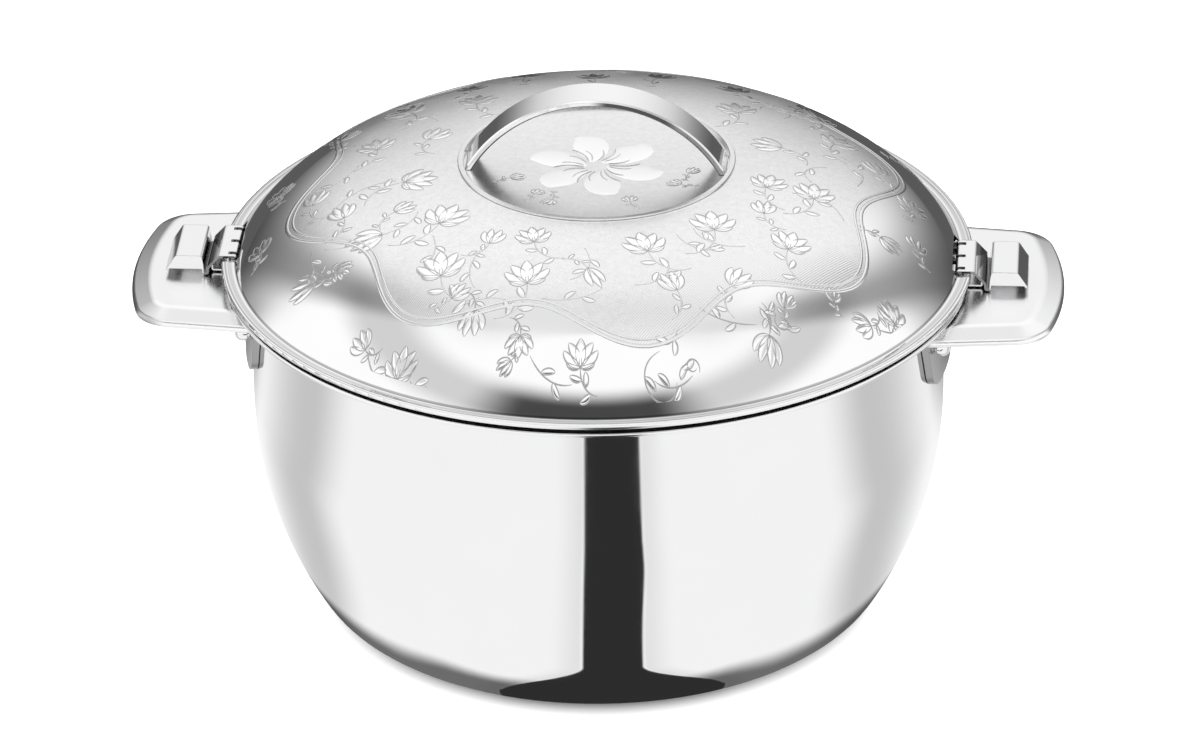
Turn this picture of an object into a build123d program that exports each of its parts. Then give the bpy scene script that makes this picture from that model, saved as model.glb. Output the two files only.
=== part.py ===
from build123d import *
import math
import os

os.makedirs("parts", exist_ok=True)

# Insulated hot pot with a clip-down lid.  Millimetres, +Z up.
# Origin: centre of the base, on the surface the pot stands on.  The side handles lie along X.

# ---- sheet metal, clearances and construction
SHEET = 0.6             # stainless sheet of shells, pan and dome
SEAM_GAP = 0.05         # space between sheets that are folded or pressed together
RUN_GAP = 0.05          # radial clearance of the hinge pin in the clip
SIDE_GAP = 0.2          # space beside each hinge lug
PAST = 5.0              # how far a cutting tool runs past what it cuts
LAP = 0.5               # how far two pieces of one solid reach into each other

# ---- body
WALL_R = 134.0          # outside of the straight wall
WALL_FOOT_Z = 87.0      # where the straight wall turns into the belly
BELLY_R = 150.0
CORNER_R = 20.0         # rounding from the belly to the base
INSULATION = 7.6        # foam between the two shells
BOWL_TOP_Z = 139.4      # top face of the body rim
RIM_W = 10.0            # body rim, from the wall to the outside of its bead
HEM_DEPTH = 2.8         # how far each folded rim reaches back
BASE_RING_W = 11.4      # flat ring that the pot stands on
BASE_PANEL_RISE = 1.5
FILL_HOLE_R = 9.0       # foam filling hole in the base
PLUG_FLANGE = 4.0
PLUG_T = 0.8

# ---- lid
LID_GAP = 1.85          # between the body rim and the lid rim
LID_OVERHANG = 1.0      # lid rim outside the body rim
LID_RIM_W = 5.5         # flat rim round the dome
LID_BEAD_EXTRA = 0.25   # room inside the folded lid rim
LID_BEAD_UP = 0.15      # bead of the lid rim over the flat rim
DOME_FOOT_RISE = 0.4    # height of the dome's foot over the flat rim
DOME_FOOT_LAP = 1.1
SHOULDER_R = 88.6
CROWN_R = 167.0
FOOT_ANGLE = 53.1       # slope of the dome at its foot
BREAK_ANGLE = 17.3      # slope where shoulder and crown arcs meet
DISH_R = 50.8           # flat dish let into the crown
DISH_LIP = 2.5          # width of the rolled lip round the dish
DISH_BANK = 0.3         # outward lean of the dish's bank
DISH_DEPTH = 2.15       # lip to floor
DISH_SAG = 1.2          # floor sinks this much more towards the middle
LID_HOLE_GAP = 0.9
COLLAR_GAP = 1.4        # inner pan's collar to the bowl
PAN_DOME_R = 232.0
PAN_RISE = 26.6         # top of the inner pan over the body rim
FOAM_EDGE = 5.0         # lid foam stops this far inside the dome's foot
FOAM_TOP_GAP = 0.3
GASKET_GAP = 3.7        # seal ring to the collar
GASKET_W = 5.5

# ---- lid handle
STRAP_RISE = 30.1       # top of the arch over the dish floor's edge
STRAP_END_GAP = 0.55    # arch ends to the dish's bank
STRAP_T = 2.6
STRAP_W = 17.0
STRAP_BEVEL = 0.6
TAB_W = 10.0            # tongues through the dish that hold the strap
TAB_T = 1.6
TAB_INSET = 0.6
TAB_FOOT = 5.6
TAB_FOOT_T = 1.0

# ---- side handles
HANDLE_T = 2.5          # metal thickness
HANDLE_DROP = 1.6       # plateau below the body rim bead
HANDLE_REACH = 36.0     # handle tip outside the body rim
HANDLE_CROWN = 8.0      # bulge of the handle's outer edge
HANDLE_CORNER_Y = 46.5
HANDLE_CORNER_R = 16.0
HANDLE_ROOT_Y = 51.0
HANDLE_ROOT_FLARE = 1.5
HANDLE_BAND = 7.5       # sloping band round the plateau
HANDLE_BAND_DROP = 3.4
HANDLE_LIP = 1.8        # turned-down edge below the band
BAND_R = 6.0
LIP_R = 2.2
BEND_R = 8.8            # plateau bends down to the wall
SADDLE_GAP = 0.2        # saddle to wall
SADDLE_DEPTH = 29.9     # lowest line of the saddle below the plateau
SADDLE_TOP_Y = 47.0
SADDLE_LOW_Y = 38.0
SADDLE_CORNER_R = 10.0
RIVET_INSET = 1.24      # rivet line inside the saddle's lower width
RIVET_DROP = 2.8        # rivets below the bend
RIVET_R = 2.0
RIVET_HEAD_R = 3.5
RIVET_HEAD_H = 4.3
RIVET_HEAD_ROUND = 2.9
RIVET_NECK_R = 2.6
RIVET_NECK_H = 1.25     # neck between saddle and head
RIVET_TAIL_R = 2.8
RIVET_TAIL_H = 1.4

# ---- latch clips and their hinges
CLIP_W = 27.0
CLIP_T = 1.0
PIN_R = 0.75
PIN_IN = 5.2            # pin centre inside the lid rim
PIN_DROP = 0.5          # pin centre below the flat lid rim
PIN_HEAD_R = 1.2
PIN_HEAD_T = 0.5
LUG_W = 1.8
LUG_EDGE = 2.9          # outer lugs to the clip's edges
LUG_LOW = 0.15          # lugs stay this much below the top of the clip
NOTCH_GAP = 2.5         # lid rim is cut back this far beside the clip
NOTCH_DEPTH = 8.0
ROOF_REACH = 5.4        # flat roof from the pin outwards
LEG_OUT = 4.4
LEG_DOWN = 4.7
LEG_LEAN = 0.3
CLIP_FOOT_GAP = 0.5     # clip to handle plateau
GRIP_IN = 1.4           # fold between leg and grip
GRIP_LEAN = 1.1
GRIP_TOP_W = 9.4
GRIP_FLARE = 3.8
GRIP_TOP_DROP = 0.2     # grip top below the roof
GRIP_EDGE_UP = 2.2      # finger gap under the grip's outer edge
END_WALL_T = 0.8
END_WALL_INSET = 0.4
END_WALL_UP = 0.6
BRACKET_T = 0.75
BRACKET_SET = 3.1       # bracket wall inside the pin
BRACKET_GAP = 0.6       # bracket to the seal ring
BRACKET_END_GAP = 0.4
BRACKET_WALL_H = 3.65
HOOK_T = 0.6            # spring hook
HOOK_SIDE = 3.5         # hook narrower than the clip, each side
HOOK_BITE = 1.1         # hook reaches this far under the body rim
HOOK_SEAT = 0.02        # hook to the clip's leg
HOOK_LEAN = 0.1

# ---- radii that follow from the sizes above
RIM_R = WALL_R + RIM_W                       # outside of the body rim bead
LID_R = RIM_R + LID_OVERHANG
DOME_FOOT_R = LID_R - LID_RIM_W
INNER_OFF = SHEET + INSULATION
BOWL_R = WALL_R - INNER_OFF - SHEET          # inside of the bowl
COLLAR_R = BOWL_R - COLLAR_GAP
GASKET_R = COLLAR_R + GASKET_GAP + GASKET_W  # outside of the seal ring
BEND_START_R = WALL_R + SADDLE_GAP + BEND_R
SADDLE_R = WALL_R + SADDLE_GAP + HANDLE_T    # outside of the saddle
HANDLE_TIP_X = RIM_R + HANDLE_REACH
HANDLE_CORNER_X = HANDLE_TIP_X - HANDLE_CROWN
PIN_X = LID_R - PIN_IN
NOTCH_X = LID_R - NOTCH_DEPTH
BRACKET_X = PIN_X - BRACKET_SET

# ---- heights that follow from the sizes above
BEAD_H = 3 * SHEET + 2 * SEAM_GAP
BEAD_Z = BOWL_TOP_Z - BEAD_H
FLANGE_TOP = BOWL_TOP_Z - SHEET - SEAM_GAP
LID_Z = BOWL_TOP_Z + LID_GAP                 # underside of the lid rim
FLAT_Z = LID_Z + 3 * SHEET + LID_BEAD_EXTRA  # top of the flat lid rim
PAN_Z = FLAT_Z - SHEET - SEAM_GAP            # top of the pan's flange
PAN_LOW_Z = PAN_Z - SHEET - SEAM_GAP         # what lies under the pan's flange
PLATE_Z = BEAD_Z - HANDLE_DROP
RIVET_Z = PLATE_Z - BEND_R - RIVET_DROP
PIN_Z = FLAT_Z - PIN_DROP
BARREL_R = PIN_R + RUN_GAP + CLIP_T
NOTCH_HALF = CLIP_W / 2 + NOTCH_GAP


def turn(face, angle=360.0):
    return revolve(Plane.XZ * face, axis=Axis.Z, revolution_arc=angle)


def block(x0, x1, y0, y1, z0, z1):
    size = Box(x1 - x0, y1 - y0, z1 - z0)
    return Pos((x0 + x1) / 2, (y0 + y1) / 2, (z0 + z1) / 2) * size


def rod(x, z, radius, length):
    return Pos(x, 0, z) * Rot(90, 0, 0) * Cylinder(radius, length)


def disc(radius, z0, z1):
    return Pos(0, 0, (z0 + z1) / 2) * Cylinder(radius, z1 - z0)


def rect(r0, r1, z0, z1):
    return Pos((r0 + r1) / 2, (z0 + z1) / 2) * Rectangle(r1 - r0, z1 - z0)


def polar(centre, radius, angle):
    """Point on a circle, angle in degrees from straight up towards +X."""
    a = math.radians(angle)
    return (centre[0] + radius * math.sin(a), centre[1] + radius * math.cos(a))


def arc(centre, radius, a0, a1):
    return ThreePointArc(polar(centre, radius, a0), polar(centre, radius, (a0 + a1) / 2),
                         polar(centre, radius, a1))


# ================================================================ body
belly_c = (WALL_R - BELLY_R, WALL_FOOT_Z)
belly_angle = 90.0 + math.degrees(math.asin((WALL_FOOT_Z - CORNER_R) / (BELLY_R - CORNER_R)))
corner_c = polar(belly_c, BELLY_R - CORNER_R, belly_angle)
BASE_PANEL_R = corner_c[0] - BASE_RING_W


def cup_face(off, top):
    """Half section of the body form, shrunk by off, from the axis to the wall."""
    wall = WALL_R - off
    low = arc(corner_c, CORNER_R - off, 180.0, belly_angle)
    side = arc(belly_c, BELLY_R - off, belly_angle, 90.0)
    edges = [Line((0, off), low @ 0), low, side, Line(side @ 1, (wall, top)),
             Line((wall, top), (0, top)), Line((0, top), (0, off))]
    return make_face(edges)


def hem_face(radius, z0, height, slot0, slot1):
    """Folded rim: a rounded bead with a slot that holds the flange of the other sheet."""
    bead = rect(radius - HEM_DEPTH, radius, z0, z0 + height)
    bead = fillet(bead.vertices().group_by(Axis.X)[-1], height / 2 - SEAM_GAP)
    return bead - rect(radius - HEM_DEPTH - PAST, radius - SHEET - SEAM_GAP, slot0, slot1)


outer_shell = turn(cup_face(0, FLANGE_TOP)) - disc(BASE_PANEL_R, -PAST, BASE_PANEL_RISE)
cavity = turn(cup_face(SHEET, FLANGE_TOP + PAST))
cavity -= disc(BASE_PANEL_R + SHEET, -PAST, BASE_PANEL_RISE + SHEET)
outer_shell -= cavity
outer_shell += turn(rect(WALL_R - SHEET, RIM_R - SHEET - 2 * SEAM_GAP, FLANGE_TOP - SHEET, FLANGE_TOP))
outer_shell -= disc(FILL_HOLE_R, -PAST, BASE_PANEL_RISE + 2 * SHEET)

inner_bowl = turn(cup_face(INNER_OFF, BOWL_TOP_Z))
inner_bowl -= turn(cup_face(INNER_OFF + SHEET, BOWL_TOP_Z + PAST))
inner_bowl += turn(rect(BOWL_R, RIM_R - HEM_DEPTH + LAP, BOWL_TOP_Z - SHEET, BOWL_TOP_Z))
inner_bowl += turn(hem_face(RIM_R, BEAD_Z, BEAD_H, BEAD_Z + SHEET, BOWL_TOP_Z - SHEET))
mouth = inner_bowl.edges().filter_by(GeomType.CIRCLE).group_by(Axis.Z)[-1].sort_by(SortBy.RADIUS)[0]
inner_bowl = fillet(mouth, SHEET * 0.8)

body_foam = turn(cup_face(SHEET + SEAM_GAP, FLANGE_TOP - SEAM_GAP))
body_foam -= turn(cup_face(INNER_OFF - SEAM_GAP, FLANGE_TOP + PAST))
body_foam -= disc(BASE_PANEL_R + SHEET + SEAM_GAP, -PAST, BASE_PANEL_RISE + SHEET + SEAM_GAP)

base_plug = disc(FILL_HOLE_R + PLUG_FLANGE, BASE_PANEL_RISE - PLUG_T, BASE_PANEL_RISE - SEAM_GAP)
base_plug += disc(FILL_HOLE_R - SEAM_GAP, BASE_PANEL_RISE - PLUG_T, BASE_PANEL_RISE + SHEET)


# ================================================================ side handles (drawn on +X)
def handle_outline(inset):
    tip = ThreePointArc((HANDLE_CORNER_X, -HANDLE_CORNER_Y), (HANDLE_TIP_X, 0),
                        (HANDLE_CORNER_X, HANDLE_CORNER_Y))
    back_x = WALL_R - HANDLE_T - 3 * PAST
    root_y = HANDLE_ROOT_Y + HANDLE_ROOT_FLARE
    near = Line((back_x, -root_y), tip @ 0)
    far = Line(tip @ 1, (back_x, root_y))
    outline = make_face([near, tip, far, Line(far @ 1, near @ 0)])
    outline = fillet(outline.vertices().group_by(Axis.X)[-1], HANDLE_CORNER_R)
    return offset(outline, -inset, kind=Kind.INTERSECTION) if inset else outline


def tray_form(inset, drop):
    """Plateau with a sloping band and a turned-down edge."""
    crease = PLATE_Z - HANDLE_BAND_DROP - drop
    low = handle_outline(inset)
    top = handle_outline(HANDLE_BAND + inset / 2)
    form = loft([Pos(0, 0, crease) * low, Pos(0, 0, PLATE_Z - drop) * top], ruled=True)
    return form + Pos(0, 0, crease - HANDLE_LIP) * extrude(low, HANDLE_LIP)


bend_c = (BEND_START_R, PLATE_Z - BEND_R)
saddle_z = PLATE_Z - SADDLE_DEPTH


def beyond_bend(depth):
    """Space outside the bend and the saddle, depth inside their metal."""
    curve = arc(bend_c, BEND_R - depth, 0, -90)
    tip_x = HANDLE_TIP_X + PAST
    start = curve @ 0
    end = curve @ 1
    top = PLATE_Z + PAST
    edges = [curve, Line(end, (end.X, saddle_z)), Line((end.X, saddle_z), (tip_x, saddle_z)),
             Line((tip_x, saddle_z), (tip_x, top)), Line((tip_x, top), (start.X, top)),
             Line((start.X, top), start)]
    return turn(make_face(edges))


tray = tray_form(0, 0)
for crease_z, rounding in ((PLATE_Z, BAND_R), (PLATE_Z - HANDLE_BAND_DROP, LIP_R)):
    creases = tray.edges().filter_by_position(Axis.Z, crease_z - SEAM_GAP, crease_z + SEAM_GAP)
    tray = fillet(creases, rounding)
tray &= beyond_bend(0)
tray -= tray_form(HANDLE_T, HANDLE_T) & beyond_bend(HANDLE_T)

lip_low = PLATE_Z - HANDLE_BAND_DROP - HANDLE_LIP
shield = make_face(Polyline((-SADDLE_TOP_Y, lip_low + LAP), (-SADDLE_LOW_Y, saddle_z),
                            (SADDLE_LOW_Y, saddle_z), (SADDLE_TOP_Y, lip_low + LAP), close=True))
shield = fillet(shield.vertices().group_by(Axis.Y)[0], SADDLE_CORNER_R)
saddle = (beyond_bend(0) - beyond_bend(HANDLE_T)) & extrude(Plane.YZ * shield, HANDLE_TIP_X)
side_handle = tray + saddle

rivet_in = WALL_R - SHEET - SEAM_GAP
rivet_out = SADDLE_R + SEAM_GAP
head_in = rivet_out + RIVET_NECK_H
tail = rivet_in - RIVET_TAIL_H


def stud(x0, x1, radius):
    return Pos((x0 + x1) / 2, 0, RIVET_Z) * Rot(0, 90, 0) * Cylinder(radius, x1 - x0)


head = stud(head_in, head_in + RIVET_HEAD_H, RIVET_HEAD_R)
head = fillet(head.edges().filter_by(GeomType.CIRCLE).group_by(Axis.X)[-1], RIVET_HEAD_ROUND)
rivet = stud(tail, rivet_in, RIVET_TAIL_R) + stud(tail, head_in + LAP, RIVET_R)
rivet += stud(rivet_out, head_in + LAP, RIVET_NECK_R) + head
bore = stud(WALL_R - SHEET - PAST, SADDLE_R + PAST, RIVET_R + SEAM_GAP)
nest = stud(tail - SEAM_GAP, WALL_R, RIVET_TAIL_R + SEAM_GAP)

rivet_angle = math.degrees(math.asin((SADDLE_LOW_Y - RIVET_INSET) / SADDLE_R))
swings = (-rivet_angle, rivet_angle)
for swing in swings:
    side_handle -= Rot(0, 0, swing) * bore
rivet_pair = Compound([Rot(0, 0, swing) * rivet for swing in swings])

for side in (0, 180):
    for swing in swings:
        outer_shell -= Rot(0, 0, side + swing) * bore
        body_foam -= Rot(0, 0, side + swing) * nest

# ================================================================ lid
foot = (DOME_FOOT_R, FLAT_Z + DOME_FOOT_RISE)
shoulder_c = polar(foot, -SHOULDER_R, FOOT_ANGLE)
crown_c = polar(shoulder_c, -(CROWN_R - SHOULDER_R), BREAK_ANGLE)
foot_run = (DOME_FOOT_RISE + SEAM_GAP) / math.sin(math.radians(FOOT_ANGLE))
foot_end = FOOT_ANGLE + math.degrees(foot_run / SHOULDER_R)   # just inside the flat rim


def crown_z(radius, off=0.0):
    return crown_c[1] + math.sqrt((CROWN_R - off) ** 2 - (radius - crown_c[0]) ** 2)


def crown_angle(radius, off=0.0):
    return math.degrees(math.asin((radius - crown_c[0]) / (CROWN_R - off)))


half = SHEET / 2
hole_r = DISH_R + LID_HOLE_GAP + half
crown = arc(crown_c, CROWN_R, crown_angle(hole_r), BREAK_ANGLE)
shoulder = arc(shoulder_c, SHOULDER_R, BREAK_ANGLE, foot_end)
crown_in = arc(crown_c, CROWN_R - SHEET, BREAK_ANGLE, crown_angle(hole_r, SHEET))
shoulder_in = arc(shoulder_c, SHOULDER_R - SHEET, foot_end, BREAK_ANGLE)
skin = make_face([crown, shoulder, Line(shoulder @ 1, shoulder_in @ 0), shoulder_in, crown_in,
                  Line(crown_in @ 1, crown @ 0)])
rim = rect(DOME_FOOT_R - DOME_FOOT_LAP, LID_R - HEM_DEPTH + LAP, FLAT_Z - SHEET, FLAT_Z)
bead_h = FLAT_Z + LID_BEAD_UP - LID_Z
rim += hem_face(LID_R, LID_Z, bead_h, PAN_LOW_Z, FLAT_Z - SHEET)
lid_dome = turn(skin) + turn(rim)

lip_z = crown_z(DISH_R + DISH_LIP / 2) + SEAM_GAP + half
floor_z = lip_z - DISH_DEPTH
sag_r = (DISH_R ** 2 + DISH_SAG ** 2) / (2 * DISH_SAG)
dish_c = (0, floor_z - DISH_SAG + sag_r)
floor_angle = math.degrees(math.asin(DISH_R / (sag_r - half)))
floor_angle_low = math.degrees(math.asin((DISH_R + SHEET) / (sag_r + half)))
floor_top = arc(dish_c, sag_r - half, 180.0, 180.0 - floor_angle)
floor_low = arc(dish_c, sag_r + half, 180.0 - floor_angle_low, 180.0)
lip_r = DISH_R + DISH_LIP
bank_r = DISH_R + DISH_BANK
bank = Polyline(floor_top @ 1, (bank_r, lip_z + half), (lip_r, lip_z + half),
                (lip_r, lip_z - half), (bank_r + SHEET, lip_z - half), floor_low @ 0)
lid_dish = turn(make_face([floor_top, bank, floor_low, Line(floor_low @ 1, floor_top @ 0)]))
lip_edges = lid_dish.edges().filter_by(GeomType.CIRCLE).group_by(Axis.Z)[-1]
lid_dish = chamfer(lip_edges, half * 0.8)

pan_c = (0, BOWL_TOP_Z + PAN_RISE - PAN_DOME_R)
rise = math.degrees(math.asin(COLLAR_R / PAN_DOME_R))
rise_in = math.degrees(math.asin(COLLAR_R / (PAN_DOME_R - SHEET)))
over = arc(pan_c, PAN_DOME_R, 0, rise)
under = arc(pan_c, PAN_DOME_R - SHEET, rise_in, 0)
pan = make_face([over, Line(over @ 1, under @ 0), under, Line(under @ 1, over @ 0)])
pan += rect(COLLAR_R - SHEET, COLLAR_R, (under @ 0).Y + SEAM_GAP, PAN_Z)
pan += rect(COLLAR_R - SHEET, LID_R - SHEET - 2 * SEAM_GAP, PAN_Z - SHEET, PAN_Z)
lid_inner_pan = turn(pan)

lid_gasket = turn(rect(GASKET_R - GASKET_W, GASKET_R, BOWL_TOP_Z + SEAM_GAP, PAN_LOW_Z))

# ---- strap handle
strap_z = floor_z + half + SEAM_GAP
strap_x = DISH_R - STRAP_END_GAP
strap_r = (strap_x ** 2 + STRAP_RISE ** 2) / (2 * STRAP_RISE)
arch_z = strap_z + STRAP_RISE - strap_r
arch = rod(0, arch_z, strap_r, STRAP_W) - rod(0, arch_z, strap_r - STRAP_T, 2 * STRAP_W)
arch = chamfer(arch.edges().filter_by(GeomType.CIRCLE), STRAP_BEVEL)
lid_handle = arch & block(-strap_r, strap_r, -STRAP_W, STRAP_W, strap_z, strap_z + STRAP_RISE + LAP)
tab_x = strap_x - TAB_INSET
foot_z = floor_z - SHEET - DISH_SAG / 4
tab_z = foot_z - TAB_FOOT_T
for side in (0, 180):
    tab = block(tab_x - TAB_T, tab_x, -TAB_W / 2, TAB_W / 2, tab_z, strap_z + LAP)
    tab += block(tab_x - TAB_FOOT, tab_x, -TAB_W / 2, TAB_W / 2, tab_z, foot_z)
    lid_handle += Rot(0, 0, side) * tab
    slot = block(tab_x - TAB_T - SEAM_GAP, tab_x + SEAM_GAP, -TAB_W / 2 - SEAM_GAP,
                 TAB_W / 2 + SEAM_GAP, foot_z, lip_z)
    lid_dish -= Rot(0, 0, side) * slot

# ---- lid foam
foam_off = SHEET + SEAM_GAP
roof = arc(crown_c, CROWN_R - foam_off, 0, BREAK_ANGLE)
slope = arc(shoulder_c, SHOULDER_R - foam_off, BREAK_ANGLE, FOOT_ANGLE)
under_dome = make_face([roof, slope, Line(slope @ 1, ((slope @ 1).X, 0)),
                        Line(((slope @ 1).X, 0), ((roof @ 0).X, 0)),
                        Line(((roof @ 0).X, 0), roof @ 0)])
foam_top = tab_z - FOAM_TOP_GAP
foam_r = DOME_FOOT_R - FOAM_EDGE
skirt_r = COLLAR_R - SHEET - SEAM_GAP
swell = math.degrees(math.asin(skirt_r / (PAN_DOME_R + SEAM_GAP)))
bed = arc(pan_c, PAN_DOME_R + SEAM_GAP, 0, swell)
space = make_face([bed, Line(bed @ 1, (skirt_r, PAN_Z + SEAM_GAP)),
                   Line((skirt_r, PAN_Z + SEAM_GAP), (foam_r, PAN_Z + SEAM_GAP)),
                   Line((foam_r, PAN_Z + SEAM_GAP), (foam_r, lip_z + PAST)),
                   Line((foam_r, lip_z + PAST), (0, lip_z + PAST)),
                   Line((0, lip_z + PAST), bed @ 0)])
lid_foam = (turn(under_dome) + disc(crown_c[0] + LAP, 0, foam_top)) & turn(space)
lid_foam -= disc(hole_r + FOAM_TOP_GAP, foam_top, lip_z + PAST)

# ================================================================ latch (drawn on +X)
roof_z = PIN_Z + BARREL_R - CLIP_T / 2
fold_z = PLATE_Z + CLIP_FOOT_GAP + CLIP_T / 2
roof_end = PIN_X + ROOF_REACH
leg_x = roof_end + LEG_OUT
fold_x = leg_x + LEG_LEAN + GRIP_IN
grip_z = roof_z - GRIP_TOP_DROP
grip_in = fold_x + GRIP_LEAN
grip_out = grip_in + GRIP_TOP_W
edge_x = grip_out + GRIP_FLARE
edge_z = PLATE_Z + GRIP_EDGE_UP
path = FilletPolyline((PIN_X, roof_z), (roof_end, roof_z), (leg_x, roof_z - LEG_DOWN),
                      (leg_x + LEG_LEAN, fold_z), (fold_x, fold_z), (grip_in, grip_z),
                      (grip_out, grip_z), (edge_x, edge_z),
                      radius=(1.2, 1.5, 0.6, 0.6, 0.8, 1.0))
strip = trace(path, line_width=CLIP_T)
clip = Pos(0, CLIP_W / 2, 0) * extrude(Plane.XZ * strip, CLIP_W)
clip += rod(PIN_X, PIN_Z, BARREL_R, CLIP_W)
clip -= rod(PIN_X, PIN_Z, PIN_R + RUN_GAP, 2 * CLIP_W)
wall_low = edge_z + END_WALL_UP
end_wall = make_face(Polyline((leg_x + GRIP_IN + END_WALL_INSET, wall_low), (grip_in, grip_z),
                              (grip_out, grip_z), (edge_x - END_WALL_INSET, wall_low), close=True))
for y in (END_WALL_T - CLIP_W / 2, CLIP_W / 2):
    clip += Pos(0, y, 0) * extrude(Plane.XZ * end_wall, END_WALL_T)

lug_pitch = CLIP_W / 2 - LUG_EDGE
lugs = (-lug_pitch, 0.0, lug_pitch)
lug_room = LUG_W / 2 + SIDE_GAP
for y in lugs:
    clip -= block(PIN_X - 2 * BARREL_R, PIN_X + BARREL_R + SIDE_GAP, y - lug_room, y + lug_room,
                  PIN_Z - 2 * BARREL_R, PIN_Z + 2 * BARREL_R)

bracket_z = PAN_LOW_Z - BRACKET_T
bracket_y = NOTCH_HALF - BRACKET_END_GAP
bracket = block(GASKET_R + BRACKET_GAP, BRACKET_X, -bracket_y, bracket_y, bracket_z, PAN_LOW_Z)
bracket += block(BRACKET_X - BRACKET_T, BRACKET_X, -bracket_y, bracket_y,
                 bracket_z, bracket_z + BRACKET_WALL_H)
for y in lugs:
    lug = rod(PIN_X, PIN_Z, BARREL_R - LUG_LOW, LUG_W)
    lug += block(BRACKET_X - BRACKET_T, PIN_X, -LUG_W / 2, LUG_W / 2, bracket_z, PIN_Z)
    bracket += Pos(0, y, 0) * lug
bracket -= rod(PIN_X, PIN_Z, PIN_R + SEAM_GAP / 2, 2 * CLIP_W)

pin_len = CLIP_W + 2 * SIDE_GAP
pin = rod(PIN_X, PIN_Z, PIN_R, pin_len)
for y in (-1, 1):
    pin += Pos(0, y * (pin_len + PIN_HEAD_T) / 2, 0) * rod(PIN_X, PIN_Z, PIN_HEAD_R, PIN_HEAD_T)

hook_z = (PLATE_Z + BEAD_Z) / 2 + HOOK_T / 3
slant = math.atan2(LEG_DOWN, LEG_OUT)
shift = CLIP_T / 2 + HOOK_T / 2 + HOOK_SEAT
lean_x = shift * math.sin(slant)
lean_z = shift * math.cos(slant)
step_x = HOOK_T
step_z = HOOK_T * math.tan(slant)
hook_w = CLIP_W - 2 * HOOK_SIDE
hook_path = FilletPolyline(
    (roof_end - lean_x + step_x, roof_z - lean_z - step_z),
    (leg_x - lean_x - step_x, roof_z - LEG_DOWN - lean_z + step_z),
    (leg_x - lean_x - step_x - HOOK_LEAN, hook_z), (RIM_R - HOOK_BITE, hook_z), radius=(0.8, 0.5))
hook = Pos(0, hook_w / 2, 0) * extrude(Plane.XZ * trace(hook_path, line_width=HOOK_T), hook_w)

notch = block(NOTCH_X, LID_R + PAST, -NOTCH_HALF, NOTCH_HALF, LID_Z - PAST, FLAT_Z + 4 * PAST)
pan_notch_y = NOTCH_HALF + BRACKET_END_GAP
pan_notch = block(BRACKET_X - BRACKET_T - BRACKET_END_GAP, LID_R + PAST, -pan_notch_y, pan_notch_y,
                  LID_Z - PAST, PAN_Z + LAP)
for side in (0, 180):
    lid_dome -= Rot(0, 0, side) * notch
    lid_inner_pan -= Rot(0, 0, side) * pan_notch

# ================================================================ named pieces
pieces = {
    "outer_shell": outer_shell,
    "inner_bowl": inner_bowl,
    "body_foam": body_foam,
    "base_plug": base_plug,
    "lid_dome": lid_dome,
    "lid_dish": lid_dish,
    "lid_handle": lid_handle,
    "lid_inner_pan": lid_inner_pan,
    "lid_foam": lid_foam,
    "lid_gasket": lid_gasket,
}
for name, turned in (("right", 0), ("left", 180)):
    place = Rot(0, 0, turned)
    pieces["side_handle_" + name] = place * side_handle
    pieces["handle_rivets_" + name] = place * rivet_pair
    pieces["hinge_bracket_" + name] = place * bracket
    pieces["hinge_pin_" + name] = place * pin
    pieces["latch_clip_" + name] = place * clip
    pieces["latch_hook_" + name] = place * hook

for name, piece in pieces.items():
    export_step(piece, "parts/" + name + ".step")
    print(name, len(piece.solids()), round(piece.volume, 1), piece.is_valid)
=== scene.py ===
import math

import bmesh
import bpy
from mathutils import Matrix, Vector
from mathutils.bvhtree import BVHTree


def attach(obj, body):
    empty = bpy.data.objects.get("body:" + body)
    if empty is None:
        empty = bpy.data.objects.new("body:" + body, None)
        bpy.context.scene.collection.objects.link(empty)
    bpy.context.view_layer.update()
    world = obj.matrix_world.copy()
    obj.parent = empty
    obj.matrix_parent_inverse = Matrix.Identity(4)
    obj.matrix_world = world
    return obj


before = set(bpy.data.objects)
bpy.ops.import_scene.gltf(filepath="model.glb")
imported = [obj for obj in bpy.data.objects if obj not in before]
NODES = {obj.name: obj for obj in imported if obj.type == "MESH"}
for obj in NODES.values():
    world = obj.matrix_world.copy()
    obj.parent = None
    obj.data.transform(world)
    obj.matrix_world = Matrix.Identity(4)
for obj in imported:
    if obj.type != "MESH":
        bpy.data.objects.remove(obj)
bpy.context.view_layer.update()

MM = 0.001

# Camera: a long lens, looking down on the pot, as far round and as tilted as in the photograph.
CAMERA_DISTANCE = 3.0
CAMERA_ELEVATION = math.radians(26.46)
CAMERA_AZIMUTH = math.radians(4.0)
CAMERA_ROLL = math.radians(-0.593)
AIM_BELOW_CENTRE = math.radians(0.890)
AIM_RIGHT = math.radians(0.009)
SENSOR_WIDTH = 36.0
LENS = 233.35
LOOK_AT = Vector((0, 0, 0.142))

# Floor: it glows by itself all round, but for a ring round the foot that keeps the shadow.
FLOOR_HALF = 4.0
FLOOR_GLOW = 0.86
GLOW_FROM, GLOW_TO = 0.095, 0.115
FLOOR_DROP = 0.3 * MM       # the floor lies this far under the pot's foot
PAPER = 0.85                # tone of the floor by itself

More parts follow.
